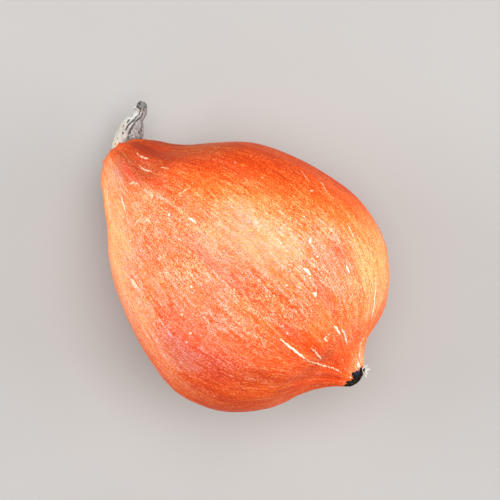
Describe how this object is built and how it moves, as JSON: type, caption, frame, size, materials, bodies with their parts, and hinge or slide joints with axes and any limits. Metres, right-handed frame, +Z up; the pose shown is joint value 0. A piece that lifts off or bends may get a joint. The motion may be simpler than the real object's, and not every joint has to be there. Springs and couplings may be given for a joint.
{
  "type": "red kuri squash",
  "caption": "Teardrop orange-red winter squash lying on its belly, with a drooping neck, a dried bent stem and a dark blossom scar with a papery flower rest.",
  "frame": {"origin": "centre of the small flat spot under the belly that the squash rests on", "axes": "+X along the fruit towards its blossom end, the neck and stem at -X, +Z up, and the stem bends towards +Y"},
  "size_m": [0.1961, 0.145, 0.1438],
  "materials": {
    "rind": "satin",
    "dried_stalk": "matte",
    "dried_petal": "matte"
  },
  "bodies": {
    "root": {"fruit": "rind", "stem": "dried_stalk", "flower_remnant": "dried_petal"}
  },
  "joints": []
}
